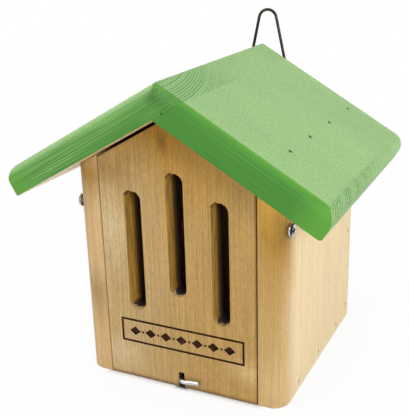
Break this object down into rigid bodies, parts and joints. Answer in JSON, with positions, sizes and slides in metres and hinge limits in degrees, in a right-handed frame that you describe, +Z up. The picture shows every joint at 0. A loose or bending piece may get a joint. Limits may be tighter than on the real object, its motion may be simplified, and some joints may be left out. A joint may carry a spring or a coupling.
{
  "type": "butterfly house",
  "caption": "Pine butterfly house with a slotted swing-out front held by a turn hook, a green gable roof with rounded edges and a wire hanger.",
  "frame": {"origin": "middle of the box's base, on the surface it stands on", "axes": "+X to the right seen from the front, +Y to the back, +Z up"},
  "size_m": [0.2152, 0.1786, 0.2347],
  "materials": {
    "pine": "planed pine with a honey stain",
    "green_stain": "green wood stain, satin, grain showing",
    "zinc": "bright zinc plate",
    "hanger_steel": "plain steel wire, dull",
    "brad_steel": "bare steel, dull"
  },
  "bodies": {
    "house": {"left_roof_board": "green_stain", "right_roof_board": "green_stain", "left_side_panel": "pine", "right_side_panel": "pine", "back_panel": "pine", "floor_board": "pine", "hanger_wire": "hanger_steel", "left_roof_brads": "brad_steel", "right_roof_brads": "brad_steel", "left_floor_brads": "brad_steel", "right_floor_brads": "brad_steel", "left_back_brads": "brad_steel", "right_back_brads": "brad_steel", "ridge_brads": "brad_steel", "back_floor_brads": "brad_steel"},
    "front_panel": {"front_panel": "pine", "left_pivot_screw": "zinc", "right_pivot_screw": "zinc"},
    "latch_hook": {"latch_hook": "zinc"}
  },
  "joints": [
    {"name": "front_swing", "type": "hinge", "parent": "house", "child": "front_panel", "pos_m": [0, -0.0635, 0.1215], "axis": [-1, 0, 0], "range_deg": [0, 120]},
    {"name": "latch_turn", "type": "hinge", "parent": "house", "child": "latch_hook", "pos_m": [0, -0.054, 0.006], "axis": [0, -1, 0], "range_deg": [-97, 83]}
  ]
}
